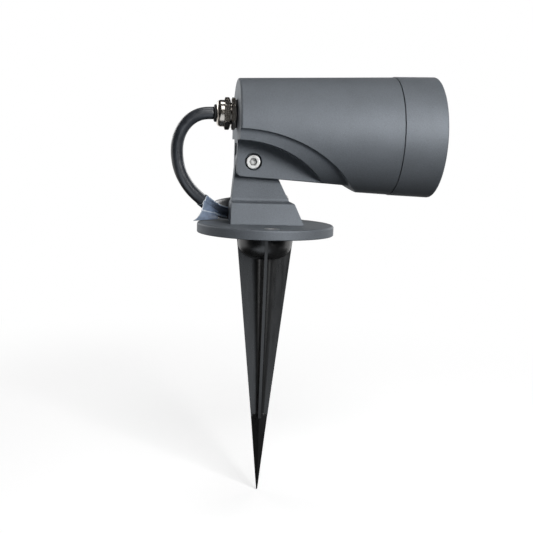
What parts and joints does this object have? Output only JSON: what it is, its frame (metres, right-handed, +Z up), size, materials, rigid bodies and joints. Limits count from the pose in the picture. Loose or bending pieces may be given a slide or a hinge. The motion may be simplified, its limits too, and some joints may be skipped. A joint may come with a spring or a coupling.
{
  "type": "spike spot light",
  "caption": "Garden spot light on a ground spike: tapered tilting head with a screw-on front ring, forked arm on a round base plate, cable gland and rubber cable.",
  "frame": {"origin": "centre of the base plate's underside, at ground level, where the spike enters the plate", "axes": "+X the way the head shines, +Y to the side where the cable lies, +Z up, opposite to the spike"},
  "size_m": [0.1713, 0.1241, 0.2832],
  "materials": {
    "powder_coat": "fine-textured satin powder coat, anthracite, on cast aluminium",
    "steel": "plain stainless",
    "black_plastic": "moulded, slightly satin",
    "washer_plastic": "plain",
    "clear_glass": "clear, tempered",
    "seal_rubber": "matt",
    "bare_aluminium": "machined",
    "grey_pad": "soft, matt",
    "led_board": "white solder mask",
    "phosphor": "yellow phosphor",
    "white_plastic": "matt",
    "reflector_metal": "bright",
    "driver_case": "plain",
    "nickel_brass": "nickel plated, polished",
    "wire_cover": "plain",
    "tinned_copper": "tinned copper",
    "cable_rubber": "satin black rubber",
    "label_film": "clear bluish film, blank"
  },
  "bodies": {
    "base": {"base_plate": "powder_coat", "stand": "powder_coat", "stand_screws": "steel", "spike": "black_plastic", "spike_stud": "steel", "cord_lead": "cable_rubber", "cord_coil": "cable_rubber", "cord_label": "label_film", "coil_tie": "black_plastic", "cord_conductors": "wire_cover", "conductor_tips": "tinned_copper"},
    "head": {"head_housing": "powder_coat", "neck_o_ring": "seal_rubber", "led_plate": "bare_aluminium", "led_plate_screws": "steel", "thermal_pad": "grey_pad", "led_board": "led_board", "led_emitter": "phosphor", "led_holder": "white_plastic", "holder_screws": "steel", "reflector": "reflector_metal", "driver": "driver_case", "driver_pad": "grey_pad", "gland_gasket": "seal_rubber", "gland_body": "nickel_brass", "gland_locknut": "nickel_brass", "gland_seal": "seal_rubber", "gland_cap": "nickel_brass", "supply_wires": "wire_cover", "led_wires": "wire_cover", "earth_lug": "tinned_copper", "earth_screw": "steel", "pivot_screw": "steel", "pivot_lock_washer": "steel", "friction_washers": "washer_plastic", "pivot_nut": "steel", "cord_root": "cable_rubber", "cord_bend": "cable_rubber"},
    "window": {"front_glass": "clear_glass", "glass_gasket": "seal_rubber"},
    "ring": {"front_ring": "powder_coat"}
  },
  "joints": [
    {"name": "head_tilt", "type": "hinge", "parent": "base", "child": "head", "pos_m": [-0.0105, 0, 0.0467], "axis": [0, -1, 0], "range_deg": [-10, 60], "deforming": ["cord_bend"]},
    {"name": "ring_travel", "type": "slide", "parent": "head", "child": "window", "axis": [1, 0, 0], "range_m": [0, 0.00541]},
    {"name": "ring_turn", "type": "hinge", "parent": "window", "child": "ring", "pos_m": [0.0807, 0, 0.0657], "axis": [1, 0, 0], "range_deg": [0, 1296]}
  ],
  "couplings": [
    {"joint": "ring_travel", "follows": "ring_turn", "m_per_rad": 0.00023873}
  ]
}
